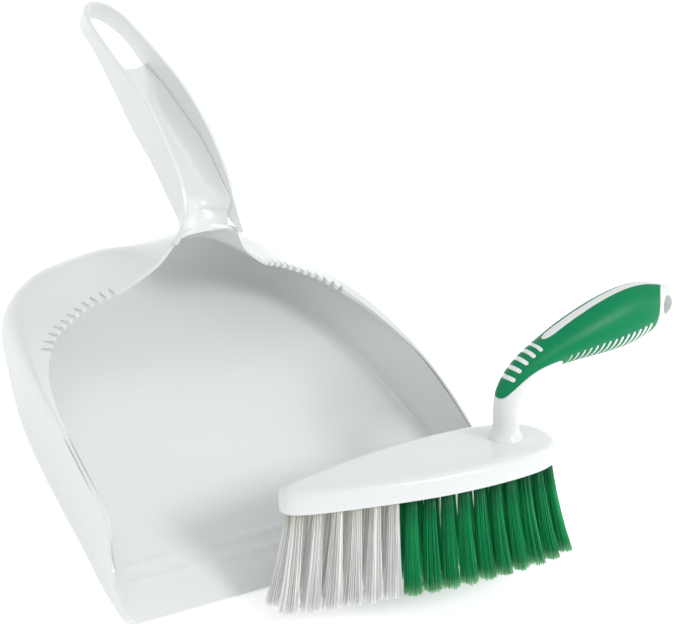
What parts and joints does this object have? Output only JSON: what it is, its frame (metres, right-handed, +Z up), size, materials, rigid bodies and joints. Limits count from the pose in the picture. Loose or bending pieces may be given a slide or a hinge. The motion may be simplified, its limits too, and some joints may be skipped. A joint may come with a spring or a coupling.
{
  "type": "dust pan and brush set",
  "caption": "Hooded dust pan with a channel handle that ends in a hanging loop, and a tufted hand brush with a soft overmoulded grip, leaning on the pan's lip.",
  "frame": {"origin": "on the ground in the middle of the pan's flat underside, 110 mm behind its lip", "axes": "+X to the right along the lip, seen from the lip; +Y from the lip towards the pan's handle; +Z up"},
  "size_m": [0.3409, 0.3899, 0.152],
  "materials": {
    "white_plastic": "glossy white moulding",
    "green_grip": "satin soft-touch green",
    "white_filament": "white plastic filament",
    "green_filament": "green plastic filament"
  },
  "bodies": {
    "pan": {"dust_pan": "white_plastic"},
    "brush": {"brush_body": "white_plastic", "grip_cover": "green_grip", "tuft_front_green_07": "green_filament", "tuft_front_green_08": "green_filament", "tuft_front_green_09": "green_filament", "tuft_front_green_10": "green_filament", "tuft_front_green_11": "green_filament", "tuft_front_green_12": "green_filament", "tuft_front_green_13": "green_filament", "tuft_front_green_14": "green_filament", "tuft_front_green_15": "green_filament", "tuft_front_green_16": "green_filament", "tuft_front_white_01": "white_filament", "tuft_front_white_02": "white_filament", "tuft_front_white_03": "white_filament", "tuft_front_white_04": "white_filament", "tuft_front_white_05": "white_filament", "tuft_front_white_06": "white_filament", "tuft_middle_green_06": "green_filament", "tuft_middle_green_07": "green_filament", "tuft_middle_green_08": "green_filament", "tuft_middle_green_09": "green_filament", "tuft_middle_green_10": "green_filament", "tuft_middle_green_11": "green_filament", "tuft_middle_green_12": "green_filament", "tuft_middle_green_13": "green_filament", "tuft_middle_green_14": "green_filament", "tuft_middle_white_01": "white_filament", "tuft_middle_white_02": "white_filament", "tuft_middle_white_03": "white_filament", "tuft_middle_white_04": "white_filament", "tuft_middle_white_05": "white_filament", "tuft_rear_green_06": "green_filament", "tuft_rear_green_07": "green_filament", "tuft_rear_green_08": "green_filament", "tuft_rear_green_09": "green_filament", "tuft_rear_green_10": "green_filament", "tuft_rear_green_11": "green_filament", "tuft_rear_green_12": "green_filament", "tuft_rear_green_13": "green_filament", "tuft_rear_green_14": "green_filament", "tuft_rear_green_15": "green_filament", "tuft_rear_green_16": "green_filament", "tuft_rear_white_01": "white_filament", "tuft_rear_white_02": "white_filament", "tuft_rear_white_03": "white_filament", "tuft_rear_white_04": "white_filament", "tuft_rear_white_05": "white_filament"}
  },
  "joints": [
    {"name": "brush_lift", "type": "slide", "parent": "pan", "child": "brush", "axis": [0, 0, 1], "range_m": [0, 0.25]}
  ]
}
